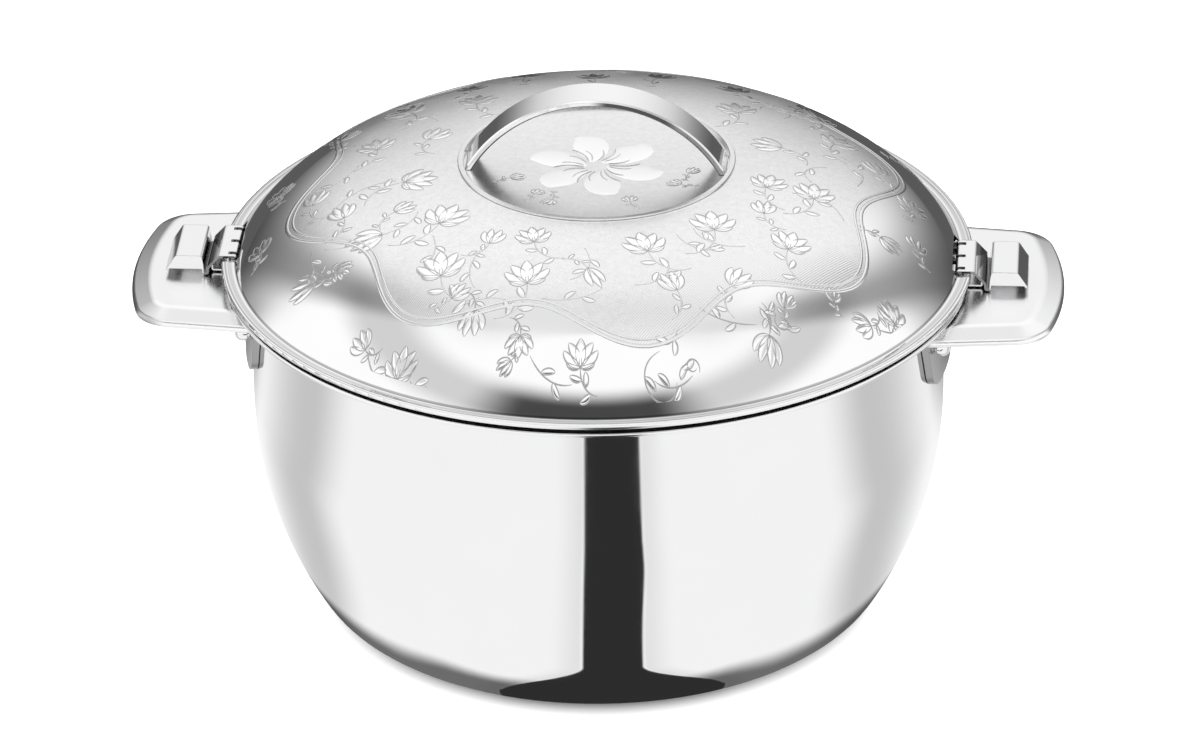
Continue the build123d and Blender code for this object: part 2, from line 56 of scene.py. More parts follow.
# What the steel sees in the floor, which the camera itself never sees.
# Degrees round the pot are 0 towards -Y and positive towards +X.  A pair is where a change begins
# and where it ends.
STEEL_FLOOR = 0.95
STRIPE_AT = 6.4         # middle of the black stripe, degrees
STRIPE_HALF = 6.5
STRIPE_WIDER = 0.85     # half of what its right edge gains far out
STRIPE_WIDENS = 0.125, 0.25     # radius over which it does
STRIPE_GLOW = 0.028     # light that is left in the stripe
STRIPE_EDGE = 0.3       # half of its soft edge, degrees
STRIPE_HALO, HALO_WIDTH = 0.84, 8.0     # light beside the stripe, and degrees until it is full
STRIPE_LINE, LINE_END = 0.12, 1.0       # thin brighter line along the stripe
FLARE = 18.0            # degrees that the stripe spreads at the foot
FLARE_IN, FLARE_OUT = 0.1105, 0.1285
FOOT_RING = 0.1145, 0.1115      # radius of the dark ring round the foot, in front and at the sides
FOOT_RING_TURN = 30, 45
FOOT_RING_WIDTH = 6 * MM, 11 * MM
FOOT_WIDTH_TURN = 18, 45
FOOT_RING_LIGHT = 0.14
SIDE_DIP = 0.40         # soft grey at the pot's left and right
DIP_AT = 72.0, 87.0     # its middle, near the foot and farther out
DIP_RADIUS = 0.11, 0.25
DIP_FRONT, DIP_BACK = (-20, -1), (1, 36)
DIP_FADES = 0.6, 2.0
BEHIND = 112.0, 126.0   # degrees round the pot from which floor and room grow dark
FAR_BEHIND_Y = 0.10, 0.24
FAR_BEHIND_DARK = 0.92

# What the steel sees in the room.  Rise is degrees over the horizon, aside is degrees from -Y.
GAP_OPENS, GAP_CLOSES = (35, 45), (51, 62)      # rise of the dark gap over the lid's front
GAP_DEPTH = 0.94, 0.36      # in front, and aside
GAP_ASIDE, GAP_ENDS = (24, 50), (118, 140)
SEAM_ASIDE, SEAM_LEAN = 144.0, -0.58            # slanting seam between two panels
SEAM_FRONT, SEAM_BACK = (-13, -1), (2, 24)
SEAM_DEPTH = 0.65
SEAM_FADES = 36, 80
HORIZON_RISE = -10, 36
HORIZON_LIGHT = 0.14, 1.06
FRONT_LIGHT = 1.08
TOP_RISE, TOP_ASIDE = (58, 72), (60, 110)
TOP_DIM = 0.2
ROOM_LIGHT = 0.85       # of the room on all that isn't steel

LAMP_AT, LAMP_SIZE, LAMP_WATTS = (0.2, 0.1, 1.8), 1.6, 6.0

# Ornament border on the lid: eight soft lobes.
BORDER_R = 112.0 * MM
BORDER_WAVE = 8.0 * MM
BORDER_LOBES = 8
BORDER_TURN = math.radians(13.0)
BORDER_STEP = 2.4 * MM  # from the outer line to the inner one
BORDER_STEPS = 30       # of each lobe
BORDER_EDGE = 0.2 * MM

# Hatching inside the border.
HATCH_PITCH = 0.8 * MM
HATCH_TURN = math.radians(55.0)
HATCH_WIDTH = 21.0 * MM
HATCH_SPANS = ((-82.0, -25.0), (-128.0, -108.0))
HATCH_FADE = 5          # degrees

# Relief of the etched ornament.
LINE_W = 0.75 * MM
LINE_H = 0.09 * MM
PETAL_H = 0.12 * MM
SINK = 0.05 * MM
RIDGE_TOP = 0.45        # half width of a ridge's flat top, as a share of the ridge's
RIDGE_ENDS = 0.2        # share of its length over which each end narrows
PETAL_ACROSS = (-1.0, -0.5, 0.0, 0.5, 1.0)
SMOOTH_UP_TO = math.radians(50)
SKIN_REACH = 136.5 * MM     # no engraving beyond this radius
SKIN_ABOVE = 0.4            # height from which the skin is looked for
CURL_TIGHTENS = 1.3
BEND_FROM = 0.3             # where along a petal its heading is the flower's
PETAL_TIP = 0.03            # least half width, as a share of the greatest

# Sharp edges of the steel: rounded in the light, and darkened with painted shade along them.
EDGE_ROUND = 0.32 * MM
EDGE_DARK = 0.8
EDGE_BENDS = 0.86, 0.995
# Colour of the painted shade on the steel: along sharp edges and in hollows.
PAINTED_SHADE = (0.03, 0.03, 0.032)
# Colour of the painted shade lines in the dome's creases.
CREASE_SHADE = (0.05, 0.05, 0.052)

# Steel tones.
STEEL = (0.925, 0.925, 0.93)
STEEL_DIM = (0.895, 0.895, 0.90)
GROUND = (0.91, 0.91, 0.915)
GROUND_DIM = (0.79, 0.79, 0.795)

# Painted shade, drawn as a tone: in hollows, on the trays' left slope and far edge, along a stretch of
# the strap's front edge and on the ornament towards the lid's far side.  How dark it is, and where it
# begins and ends.  A slope is a range of one part of the surface's normal.
UNDER_STRAP, UNDER_STRAP_SLOPE = 0.85, (-0.45, -0.25)
STRAP_FRONT, STRAP_FRONT_SLOPE = 0.93, (-0.9, -0.6)
STRAP_FRONT_FROM = -3 * MM, 5 * MM
STRAP_FRONT_TO = 26 * MM, 34 * MM
STRAP_FRONT_LEFT = 0.7      # share of that shade that goes on to the strap's right root
FAR_ORNAMENT, FAR_ORNAMENT_Y = 0.62, (40 * MM, 78 * MM)
SADDLE, SADDLE_RADIUS = 0.62, (137.5 * MM, 140.5 * MM)
TRAY_LEFT, TRAY_LEFT_SLOPE = 0.45, (-0.55, -0.15)
TRAY_FAR, TRAY_FAR_SLOPE = 0.75, (0.25, 0.55)
CLIP_ENDS, CLIP_ENDS_SLOPE = 0.7, (-0.9, -0.7)
CLIP_UNDER, CLIP_UNDER_Z = 0.75, (142.0 * MM, 143.0 * MM)
CLIP_FOLD = 151.2 * MM, 151.7 * MM      # the clips' folds end here, and their grips begin

# Profile of the dome: the sine of its slope is (radius - centre) / bend, for crown and shoulder.
SHOULDER_BEND = 88.6 * MM
SHOULDER_CENTRE = 139.5 * MM - SHOULDER_BEND * math.sin(math.radians(53.1))
CROWN_BEND = 167.0 * MM
CROWN_CENTRE = SHOULDER_CENTRE + (SHOULDER_BEND - CROWN_BEND) * math.sin(math.radians(17.3))
DOME_AGREES = 0.975, 0.99   # how closely the mesh has to agree with that profile
# Painted shade lines in the dome's creases.
CREASES = (             # radius, half width, depth
    (139.7 * MM, 0.55 * MM, 0.55),
    (141.9 * MM, 1.3 * MM, 0.30),
    (143.5 * MM, 0.5 * MM, 0.5))
CREASE_CORE = 0.4       # share of a crease's half width that has its full depth
RIM_FROM = 142.6 * MM
RIM_ROUGHER = 0.14


# ---------------------------------------------------------------- node helpers

class Nodes:
    """Small helper round one material's or world's node tree."""

    def __init__(self, tree):
        self.tree = tree
        tree.nodes.clear()

    def add(self, kind, **settings):
        node = self.tree.nodes.new(kind)
        for name, value in settings.items():
            setattr(node, name, value)
        return node

    def link(self, source, target):
        self.tree.links.new(source, target)

    def math(self, operation, *values):
        node = self.add("ShaderNodeMath", operation=operation)
        for socket, value in zip(node.inputs, values):
            if isinstance(value, (int, float)):
                socket.default_value = value
            else:
                self.link(value, socket)
        return node.outputs[0]

    def product(self, first, *others):
        for other in others:
            first = self.math("MULTIPLY", first, other)
        return first

    def less(self, value):
        """1 minus the value."""
        return self.math("SUBTRACT", 1.0, value)

    def smooth(self, value, low, high, to_low=0.0, to_high=1.0):
        node = self.add("ShaderNodeMapRange", interpolation_type="SMOOTHSTEP")
        self.link(value, node.inputs["Value"])
        node.inputs["From Min"].default_value = low
        node.inputs["From Max"].default_value = high
        node.inputs["To Min"].default_value = to_low
        node.inputs["To Max"].default_value = to_high
        return node.outputs["Result"]

    def blend(self, factor, first, second):
        node = self.add("ShaderNodeMix", data_type="RGBA")
        sockets = node.inputs[0], node.inputs[6], node.inputs[7]
        for socket, value in zip(sockets, (factor, first, second)):
            if isinstance(value, tuple):
                socket.default_value = (*value, 1)
            else:
                self.link(value, socket)
        return node.outputs[2]

    def place(self):
        return self.add("ShaderNodeTexCoord").outputs["Object"]

    def split(self, vector):
        node = self.add("ShaderNodeSeparateXYZ")
        self.link(vector, node.inputs[0])
        return node.outputs

    def length(self, x, y):
        return self.math("SQRT", self.math("ADD", self.product(x, x), self.product(y, y)))

    def noise(self, vector, scale, detail=2.0, roughness=0.5):
        node = self.add("ShaderNodeTexNoise")
        node.inputs["Scale"].default_value = scale
        node.inputs["Detail"].default_value = detail
        node.inputs["Roughness"].default_value = roughness
        self.link(vector, node.inputs["Vector"])
        return node.outputs["Fac"]

    def stretched(self, vector, scale):
        node = self.add("ShaderNodeMapping")
        node.inputs["Scale"].default_value = scale
        self.link(vector, node.inputs["Vector"])
        return node.outputs["Vector"]

    def rounded(self, radius):
        """Normal that softens sharp edges."""
        node = self.add("ShaderNodeBevel", samples=6)
        node.inputs["Radius"].default_value = radius
        return node.outputs["Normal"]

    def dot(self, first, second):
        node = self.add("ShaderNodeVectorMath", operation="DOT_PRODUCT")
        self.link(first, node.inputs[0])
        self.link(second, node.inputs[1])
        return node.outputs["Value"]

    def surface_normal(self):
        return self.add("ShaderNodeNewGeometry").outputs["Normal"]

    def edge(self, rounded):
        """1 along sharp edges, 0 elsewhere."""
        return self.smooth(self.dot(rounded, self.surface_normal()), *EDGE_BENDS, 1.0, 0.0)

    def bump(self, height, strength, distance, normal=None):
        node = self.add("ShaderNodeBump")
        node.inputs["Strength"].default_value = strength
        node.inputs["Distance"].default_value = distance
        self.link(height, node.inputs["Height"])
        if normal is not None:
            self.link(normal, node.inputs["Normal"])
        return node.outputs["Normal"]


def new_material(name):
    material = bpy.data.materials.new(name)
    material.use_nodes = True
    nodes = Nodes(material.node_tree)
    output = nodes.add("ShaderNodeOutputMaterial")
    shader = nodes.add("ShaderNodeBsdfPrincipled")
    nodes.link(shader.outputs[0], output.inputs["Surface"])
    return material, nodes, shader


# ---------------------------------------------------------------- materials

def polished_steel(name, tint=STEEL, roughness=0.04, scuff=0.03, shade=None):
    """Mirror steel with handling smudges, painted shade along its sharp edges and a hair of pressing
    ripple.

    shade(nodes) may give a factor of painted shade that darkens some stretch of the piece.
    """
    material, nodes, shader = new_material(name)
    place = nodes.place()
    rounded = nodes.rounded(EDGE_ROUND)
    smudge = nodes.noise(place, scale=28.0, detail=4.0, roughness=0.55)
    streak = nodes.noise(nodes.stretched(place, (900, 900, 60)), scale=1.0)
    dim = tuple(channel * 0.97 for channel in tint)
    # Painted shade: dark along sharp edges, and wherever shade() asks for it.
    dark = nodes.product(nodes.edge(rounded), EDGE_DARK)
    if shade:
        dark = nodes.math("MAXIMUM", dark, shade(nodes))
    steel = nodes.blend(smudge, tint, dim)
    nodes.link(nodes.blend(dark, steel, PAINTED_SHADE), shader.inputs["Base Color"])
    wear = nodes.math("ADD", nodes.product(smudge, 0.6), nodes.product(streak, 0.4))
    rough = nodes.smooth(wear, 0.3, 0.7, roughness, roughness + scuff)
    nodes.link(rough, shader.inputs["Roughness"])
    shader.inputs["Metallic"].default_value = 1.0
    ripple = nodes.noise(place, scale=9.0, detail=1.0)
    normal = nodes.bump(ripple, strength=0.2, distance=0.4 * MM, normal=rounded)
    nodes.link(normal, shader.inputs["Normal"])
    return material


def strap_painted_shade(nodes):
    """Painted shade on the underside of the lid's strap and along a stretch of its front edge."""
    _, back, up = nodes.split(nodes.surface_normal())
    x, _, _ = nodes.split(nodes.place())
    under = nodes.smooth(up, *UNDER_STRAP_SLOPE, UNDER_STRAP, 0.0)
    stretch = nodes.product(nodes.smooth(x, *STRAP_FRONT_FROM),
                            nodes.smooth(x, *STRAP_FRONT_TO, 1.0, STRAP_FRONT_LEFT))
    front = nodes.product(nodes.smooth(back, *STRAP_FRONT_SLOPE, STRAP_FRONT, 0.0), stretch)
    return nodes.math("MAXIMUM", under, front)


def far_ornament_painted_shade(nodes):
    """Painted shade: polished ornament darkens towards the lid's far side."""
    _, y, _ = nodes.split(nodes.place())
    return nodes.smooth(y, *FAR_ORNAMENT_Y, 0.0, FAR_ORNAMENT)


def tray_painted_shade(nodes):
    """Painted shade on the saddle below each side handle, on the slope that faces left and on the far
    edge.
    """
    x, y, _ = nodes.split(nodes.place())
    across, back, _ = nodes.split(nodes.surface_normal())
    saddle = nodes.smooth(nodes.length(x, y), *SADDLE_RADIUS, SADDLE, 0.0)
    left = nodes.smooth(across, *TRAY_LEFT_SLOPE, TRAY_LEFT, 0.0)
    far = nodes.smooth(back, *TRAY_FAR_SLOPE, 0.0, TRAY_FAR)
    return nodes.math("MAXIMUM", nodes.math("MAXIMUM", saddle, left), far)


def clip_painted_shade(nodes):
    """Painted shade in the fold of each latch clip: on its cut ends and below its roof."""
    x, _, z = nodes.split(nodes.place())
    _, back, _ = nodes.split(nodes.surface_normal())
    ends = nodes.smooth(back, *CLIP_ENDS_SLOPE, CLIP_ENDS, 0.0)
    under = nodes.smooth(z, *CLIP_UNDER_Z, CLIP_UNDER, 0.0)
    inner = nodes.smooth(nodes.math("ABSOLUTE", x), *CLIP_FOLD, 1.0, 0.0)
    return nodes.product(nodes.math("MAXIMUM", ends, under), inner)


def dome_normal(nodes, x, y):
    """Exact normal of the dome's upper side, and the mesh's own normal on edges, rim and inside."""
    radius = nodes.math("MAXIMUM", nodes.length(x, y), 1 * MM)
    crown = nodes.math("DIVIDE", nodes.math("SUBTRACT", radius, CROWN_CENTRE), CROWN_BEND)
    shoulder = nodes.math("DIVIDE", nodes.math("SUBTRACT", radius, SHOULDER_CENTRE), SHOULDER_BEND)
    slope = nodes.math("MAXIMUM", crown, shoulder)
    level = nodes.math("SQRT", nodes.math("MAXIMUM", nodes.less(nodes.product(slope, slope)), 0.01))
    outward = nodes.math("DIVIDE", slope, radius)
    exact = nodes.add("ShaderNodeCombineXYZ")
    nodes.link(nodes.product(x, outward), exact.inputs[0])
    nodes.link(nodes.product(y, outward), exact.inputs[1])
    nodes.link(level, exact.inputs[2])
    own = nodes.surface_normal()
    close = nodes.smooth(nodes.dot(exact.outputs[0], own), *DOME_AGREES)
    mixed = nodes.add("ShaderNodeMix", data_type="VECTOR")
    nodes.link(close, mixed.inputs[0])
    nodes.link(own, mixed.inputs[4])
    nodes.link(exact.outputs[0], mixed.inputs[5])
    return mixed.outputs[1]


def satin_grain(nodes, place):
    """Fine bead-blasted grain, as one height."""
    fine = nodes.noise(place, scale=1900.0, detail=2.0, roughness=0.6)
    coarse = nodes.noise(place, scale=420.0)
    return nodes.math("ADD", nodes.product(fine, 0.65), nodes.product(coarse, 0.35))


def past_border(nodes, x, y):
    """Metres outside the wavy border of the lid's ornament."""
    angle = nodes.math("ARCTAN2", y, x)
    turned = nodes.product(nodes.math("SUBTRACT", angle, BORDER_TURN), BORDER_LOBES)
    edge = nodes.math("MULTIPLY_ADD", nodes.math("COSINE", turned), BORDER_WAVE, BORDER_R)
    return nodes.math("SUBTRACT", nodes.length(x, y), edge)


def hatching(nodes, x, y, over):
    """Fine slanting lines in some stretches just inside the border."""
    across = nodes.math("SUBTRACT", nodes.product(x, math.sin(HATCH_TURN)),
                        nodes.product(y, math.cos(HATCH_TURN)))
    lines = nodes.math("SINE", nodes.product(across, 2 * math.pi / HATCH_PITCH))
    degrees = nodes.product(nodes.math("ARCTAN2", y, x), 180 / math.pi)
    band = nodes.product(nodes.smooth(over, -HATCH_WIDTH, -0.7 * HATCH_WIDTH),
                         nodes.smooth(over, -1.5 * MM, -0.5 * MM, 1, 0))
    spans = None
    for start, end in HATCH_SPANS:
        span = nodes.product(nodes.smooth(degrees, start, start + HATCH_FADE),
                             nodes.smooth(degrees, end - HATCH_FADE, end, 1, 0))
        spans = span if spans is None else nodes.math("ADD", spans, span)
    return nodes.product(lines, band, spans)


def crease(nodes, x, y):
    """Painted shade: dark lines where the dome meets its rim and where the rim's bead begins."""
    radius = nodes.length(x, y)
    lines = None
    for at, wide, depth in CREASES:
        off = nodes.math("ABSOLUTE", nodes.math("SUBTRACT", radius, at))
        line = nodes.smooth(off, CREASE_CORE * wide, wide, depth, 0.0)
        lines = line if lines is None else nodes.math("MAXIMUM", lines, line)
    return lines


def etched_lid_steel():
    """Satin ground inside the border, mirror skirt outside it."""
    material, nodes, shader = new_material("etched lid steel")
    place = nodes.place()
    x, y, _ = nodes.split(place)
    over = past_border(nodes, x, y)
    inside = nodes.smooth(over, -BORDER_EDGE, BORDER_EDGE, 1, 0)
    hatch = hatching(nodes, x, y, over)
    grain = satin_grain(nodes, place)
    cloud = nodes.noise(place, scale=35.0, detail=3.0)
    shade = nodes.math("ADD", grain, nodes.product(hatch, 0.32))
    satin = nodes.blend(nodes.smooth(shade, 0.32, 0.68), GROUND_DIM, GROUND)
    mirror = nodes.blend(cloud, STEEL, STEEL_DIM)
    finish = nodes.blend(inside, mirror, satin)
    # Painted shade lines in the creases, over the finish.
    nodes.link(nodes.blend(crease(nodes, x, y), finish, CREASE_SHADE), shader.inputs["Base Color"])
    rough = nodes.smooth(cloud, 0.3, 0.7, 0.24, 0.30)
    gloss = nodes.smooth(cloud, 0.3, 0.7, 0.05, 0.08)
    swing = nodes.math("MULTIPLY_ADD", nodes.math("SUBTRACT", rough, gloss), inside, gloss)
    rim = nodes.smooth(nodes.length(x, y), RIM_FROM, RIM_FROM + 1 * MM, 0.0, RIM_ROUGHER)
    nodes.link(nodes.math("ADD", swing, rim), shader.inputs["Roughness"])
    shader.inputs["Metallic"].default_value = 1.0
    height = nodes.math("ADD", nodes.product(grain, inside), nodes.product(hatch, 0.8))
    normal = nodes.bump(height, 0.35, 0.05 * MM, dome_normal(nodes, x, y))
    nodes.link(normal, shader.inputs["Normal"])
    return material


def satin_steel(name, tint, low, high, strength):
    """Bead-blasted steel, of roughness low to high and with a grain of the given strength."""
    material, nodes, shader = new_material(name)
    place = nodes.place()
    grain = satin_grain(nodes, place)
    dim = tuple(channel * 0.9 for channel in tint)
    nodes.link(nodes.blend(nodes.smooth(grain, 0.35, 0.65), dim, tint), shader.inputs["Base Color"])
    cloud = nodes.noise(place, scale=40.0, detail=3.0)
    nodes.link(nodes.smooth(cloud, 0.3, 0.7, low, high), shader.inputs["Roughness"])
    shader.inputs["Metallic"].default_value = 1.0
    nodes.link(nodes.bump(grain, strength, 0.04 * MM), shader.inputs["Normal"])
    return material


def spun_steel(name, dark, light):
    """Plain pressed steel with faint turning rings round the pot's axis."""
    material, nodes, shader = new_material(name)
    x, y, z = nodes.split(nodes.place())
    joined = nodes.add("ShaderNodeCombineXYZ")
    nodes.link(nodes.length(x, y), joined.inputs[0])
    nodes.link(z, joined.inputs[2])
    rings = nodes.noise(nodes.stretched(joined.outputs[0], (1500, 1, 1500)), scale=1.0)
    nodes.link(nodes.blend(rings, (dark,) * 3, (light,) * 3), shader.inputs["Base Color"])
    nodes.link(nodes.smooth(rings, 0.3, 0.7, 0.16, 0.28), shader.inputs["Roughness"])
    shader.inputs["Metallic"].default_value = 1.0
    nodes.link(nodes.bump(rings, 0.15, 0.03 * MM), shader.inputs["Normal"])
    return material


def rubber(name, dark, light):
    """Dull rubber with a fine moulded grain."""
    material, nodes, shader = new_material(name)
    grain = nodes.noise(nodes.place(), scale=1200.0, detail=3.0)
    nodes.link(nodes.blend(grain, dark, light), shader.inputs["Base Color"])
    nodes.link(nodes.smooth(grain, 0.3, 0.7, 0.55, 0.75), shader.inputs["Roughness"])
    nodes.link(nodes.bump(grain, 0.3, 0.05 * MM), shader.inputs["Normal"])
    return material


def foam(name):
    """Yellowish insulation foam with small cells."""
    material, nodes, shader = new_material(name)
    cells = nodes.add("ShaderNodeTexVoronoi")
    cells.inputs["Scale"].default_value = 900.0
    nodes.link(nodes.place(), cells.inputs["Vector"])
    tone = nodes.smooth(cells.outputs["Distance"], 0.1, 0.8)
    nodes.link(nodes.blend(tone, (0.80, 0.72, 0.50), (0.92, 0.86, 0.66)), shader.inputs["Base Color"])
    shader.inputs["Roughness"].default_value = 0.9
    nodes.link(nodes.bump(tone, 0.5, 0.2 * MM), shader.inputs["Normal"])
    return material


def cut_line(name, dark, light):
    """Darker, finely broken cut of the engraved outlines."""
    material, nodes, shader = new_material(name)
    grain = nodes.noise(nodes.place(), scale=2400.0)
    nodes.link(nodes.blend(grain, (dark,) * 3, (light,) * 3), shader.inputs["Base Color"])
    nodes.link(nodes.smooth(grain, 0.3, 0.7, 0.40, 0.55), shader.inputs["Roughness"])
    shader.inputs["Metallic"].default_value = 1.0
    nodes.link(nodes.bump(grain, 0.3, 0.03 * MM), shader.inputs["Normal"])
    return material


# ---------------------------------------------------------------- relief on a surface

class Skin:
    """Places flat patterns on the upper side of a CAD node."""

    def __init__(self, node):
        mesh = NODES[node].data
        vertices = [v.co.copy() for v in mesh.vertices]
        faces = [tuple(p.vertices) for p in mesh.polygons]
        self.tree = BVHTree.FromPolygons(vertices, faces)

    def at(self, x, y, lift=0.0):
        """The point above (x, y) on the skin, or on the circle where engraving ends."""
        inward = min(1.0, SKIN_REACH / max(math.hypot(x, y), 1 * MM))
        above = Vector((x * inward, y * inward, SKIN_ABOVE))
        point, normal, _, _ = self.tree.ray_cast(above, Vector((0, 0, -1)))
        if normal.z < 0:
            normal = -normal
        return point + normal * lift


class Relief:
    """Collects closed ribbons and petals into one mesh piece."""

    def __init__(self, skin):
        self.skin = skin
        self.mesh = bmesh.new()

    def ribbon(self, path, width=LINE_W, height=LINE_H, taper=0.35):
        """A low closed ridge along a plan path [(x, y), ...]."""
        rings = []
        count = len(path)
        for k, (x, y) in enumerate(path):
            ahead = path[min(k + 1, count - 1)]
            behind = path[max(k - 1, 0)]
            run = Vector((ahead[0] - behind[0], ahead[1] - behind[1]))
            side = Vector((-run.y, run.x)).normalized()
            ease = min(k, count - 1 - k) / max(1.0, RIDGE_ENDS * count)
            half = 0.5 * width * (taper + (1 - taper) * min(1.0, ease))
            profile = ((-1.0, -SINK), (-RIDGE_TOP, height), (RIDGE_TOP, height), (1.0, -SINK))
            ring = []
            for across, lift in profile:
                spot = (x + side.x * half * across, y + side.y * half * across)
                ring.append(self.mesh.verts.new(self.skin.at(*spot, lift)))
            rings.append(ring)
        for first, second in zip(rings, rings[1:]):
            for j in range(4):
                k = (j + 1) % 4
                self.mesh.faces.new((first[j], second[j], second[k], first[k]))
        self.mesh.faces.new(rings[0])
        self.mesh.faces.new(list(reversed(rings[-1])))

    def petal(self, spine, height=PETAL_H):
        """A slightly domed plate along a spine [(x, y, heading, half width), ...]."""
        last = len(spine) - 1
        top, under = [], []
        for k, (x, y, turn, half) in enumerate(spine):
            side = (-math.sin(turn), math.cos(turn))
            ends = min(1.0, 4 * k / last, 4 * (1 - k / last))
            upper, lower = [], []
            for v in PETAL_ACROSS:
                spot = (x + side[0] * half * v, y + side[1] * half * v)
                dome = height * (1 - v * v) * ends - SINK * abs(v) ** 3
                upper.append(self.mesh.verts.new(self.skin.at(*spot, dome)))
                lower.append(self.mesh.verts.new(self.skin.at(*spot, -2 * SINK)))
            top.append(upper)
            under.append(lower)
        self.close(top, under)

    def outline(self, spine, width=LINE_W * 0.8, height=LINE_H):
        """The two edges of a petal, as thin ridges."""
        for edge in (-1, 1):
            path = [(x - math.sin(turn) * half * edge, y + math.cos(turn) * half * edge)
                    for x, y, turn, half in spine]
            self.ribbon(path, width, height)

    def close(self, top, under):
        """Faces of a plate between two grids of vertices, with its four sides."""
        last = len(top) - 1
        wide = len(top[0]) - 1
        faces = self.mesh.faces
        for k in range(last):
            for j in range(wide):
                faces.new((top[k][j], top[k + 1][j], top[k + 1][j + 1], top[k][j + 1]))
                faces.new((under[k][j], under[k][j + 1], under[k + 1][j + 1], under[k + 1][j]))
            for j, flip in ((0, False), (wide, True)):
                side = [top[k][j], under[k][j], under[k + 1][j], top[k + 1][j]]
                faces.new(side[::-1] if flip else side)
        for k, flip in ((0, True), (last, False)):
            for j in range(wide):
                side = [top[k][j], under[k][j], under[k][j + 1], top[k][j + 1]]
                faces.new(side[::-1] if flip else side)

    def finish(self, name, material, slot, body="lid"):
        """Turns what was collected into one named piece that rides on a body."""
        bmesh.ops.recalc_face_normals(self.mesh, faces=self.mesh.faces)
        data = bpy.data.meshes.new(name)
        self.mesh.to_mesh(data)
        self.mesh.free()
        data.materials.append(material)
        for polygon in data.polygons:
            polygon.use_smooth = True
        data.set_sharp_from_angle(angle=SMOOTH_UP_TO)
        piece = bpy.data.objects.new(name, data)
        bpy.context.scene.collection.objects.link(piece)
        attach(piece, body)


def polar(radius, degrees):
    """Plan point at a radius and an angle from +X."""
    angle = math.radians(degrees)
    return radius * math.cos(angle), radius * math.sin(angle)


def border_radius(degrees):
    """Radius of the wavy border at an angle from +X."""
    turned = math.radians(degrees) - BORDER_TURN
    return BORDER_R + BORDER_WAVE * math.cos(BORDER_LOBES * turned)


def curve(start, heading, length, curl, steps=14):
    """Plan path that sets off on a heading and winds by curl radians, ever tighter."""
    x, y = start
    path = [(x, y)]
    for k in range(steps):
        turn = heading + curl * (k / steps) ** CURL_TIGHTENS
        x += math.cos(turn) * length / steps
        y += math.sin(turn) * length / steps
        path.append((x, y))
    return path


def spine(base, heading, length, width, bend=0.0, blunt=0.6, fullest=0.5, steps=9):
    """Middle line of a petal with its headings and half widths; fullest is where it is widest."""
    skew = math.log(0.5) / math.log(fullest)
    x, y = base
    points = []
    for k in range(steps + 1):
        u = k / steps
        turn = heading + bend * (u - BEND_FROM)
        half = 0.5 * width * max(PETAL_TIP, math.sin(math.pi * u ** skew)) ** blunt
        points.append((x, y, turn, half))
        x += math.cos(turn) * length / steps
        y += math.sin(turn) * length / steps
    return points


# ---------------------------------------------------------------- flower motifs
# A petal is (degrees off the flower's heading, length, width, bend).  Lengths and widths are shares
# of the flower's width.
LOTUS = ((-84, 0.34, 0.10, 1.2), (84, 0.34, 0.10, -1.2),
         (-56, 0.50, 0.17, 0.8), (56, 0.50, 0.17, -0.8),
         (-27, 0.54, 0.19, -0.3), (27, 0.54, 0.19, 0.3), (0, 0.56, 0.22, 0.0))
TULIP = ((-38, 0.60, 0.20, 0.9), (38, 0.60, 0.20, -0.9),
         (-14, 0.66, 0.20, 0.3), (14, 0.66, 0.20, -0.3))
BELL = ((-20, 0.85, 0.22, 0.7), (20, 0.85, 0.22, -0.7), (0, 1.0, 0.20, 0.0))

# Flowers: place in mm, heading in degrees, width in mm, petals, and the stem's winding in radians.
GROUND_FLOWERS = (
    (-53, -84, 95, 24, LOTUS, 1.9), (-20, -92, 95, 22, LOTUS, -1.8), (2, -84, 300, 12, BELL, 1.5),
    (24, -72, 110, 22, LOTUS, 2.0), (-19, -68, 100, 18, LOTUS, 1.7), (-36, -68, 75, 14, TULIP, -2.0),
    (-56, -52, 65, 24, LOTUS, -1.7), (-78, -54, 190, 19, TULIP, 1.4), (-74, -40, 30, 13, TULIP, 1.6),
    (-72, -18, 5, 22, LOTUS, 1.6), (-94, -36, 105, 16, TULIP, -1.8), (-108, -18, 80, 16, TULIP, 1.5),
    (-86, 16, 100, 20, LOTUS, -1.5), (-66, 18, 60, 17, TULIP, 1.9), (-102, 40, 80, 17, LOTUS, 1.5),
    (-76, 52, 120, 22, LOTUS, -1.5), (-50, 52, 90, 20, LOTUS, 1.7), (-54, 72, 90, 17, LOTUS, -1.5),
    (-84, 74, 110, 17, TULIP, 1.4), (-34, 88, 80, 19, LOTUS, 1.4), (-6, 80, 100, 18, LOTUS, -1.6),
    (18, 84, 70, 17, TULIP, 1.5), (50, 76, 110, 19, LOTUS, 1.5), (52, 48, 100, 21, LOTUS, -1.6),
    (76, 72, 60, 18, TULIP, 1.4), (70, 18, 170, 18, TULIP, -1.7), (90, 34, 70, 20, LOTUS, 1.6),
    (108, 20, 110, 16, TULIP, 1.4), (66, -18, 80, 19, LOTUS, 1.6), (84, -20, 90, 21, LOTUS, -1.5),
    (66, -38, 95, 14, TULIP, 1.8), (76, -58, 80, 20, LOTUS, 1.5), (48, -54, 100, 23, LOTUS, -1.7),
    (56, -85, 60, 16, TULIP, 1.6), (36, -92, 120, 15, TULIP, -1.5), (-2, 106, 90, 15, TULIP, 1.5),
    (-48, -96, 40, 12, TULIP, -1.6), (84, 56, 100, 17, LOTUS, -1.5))
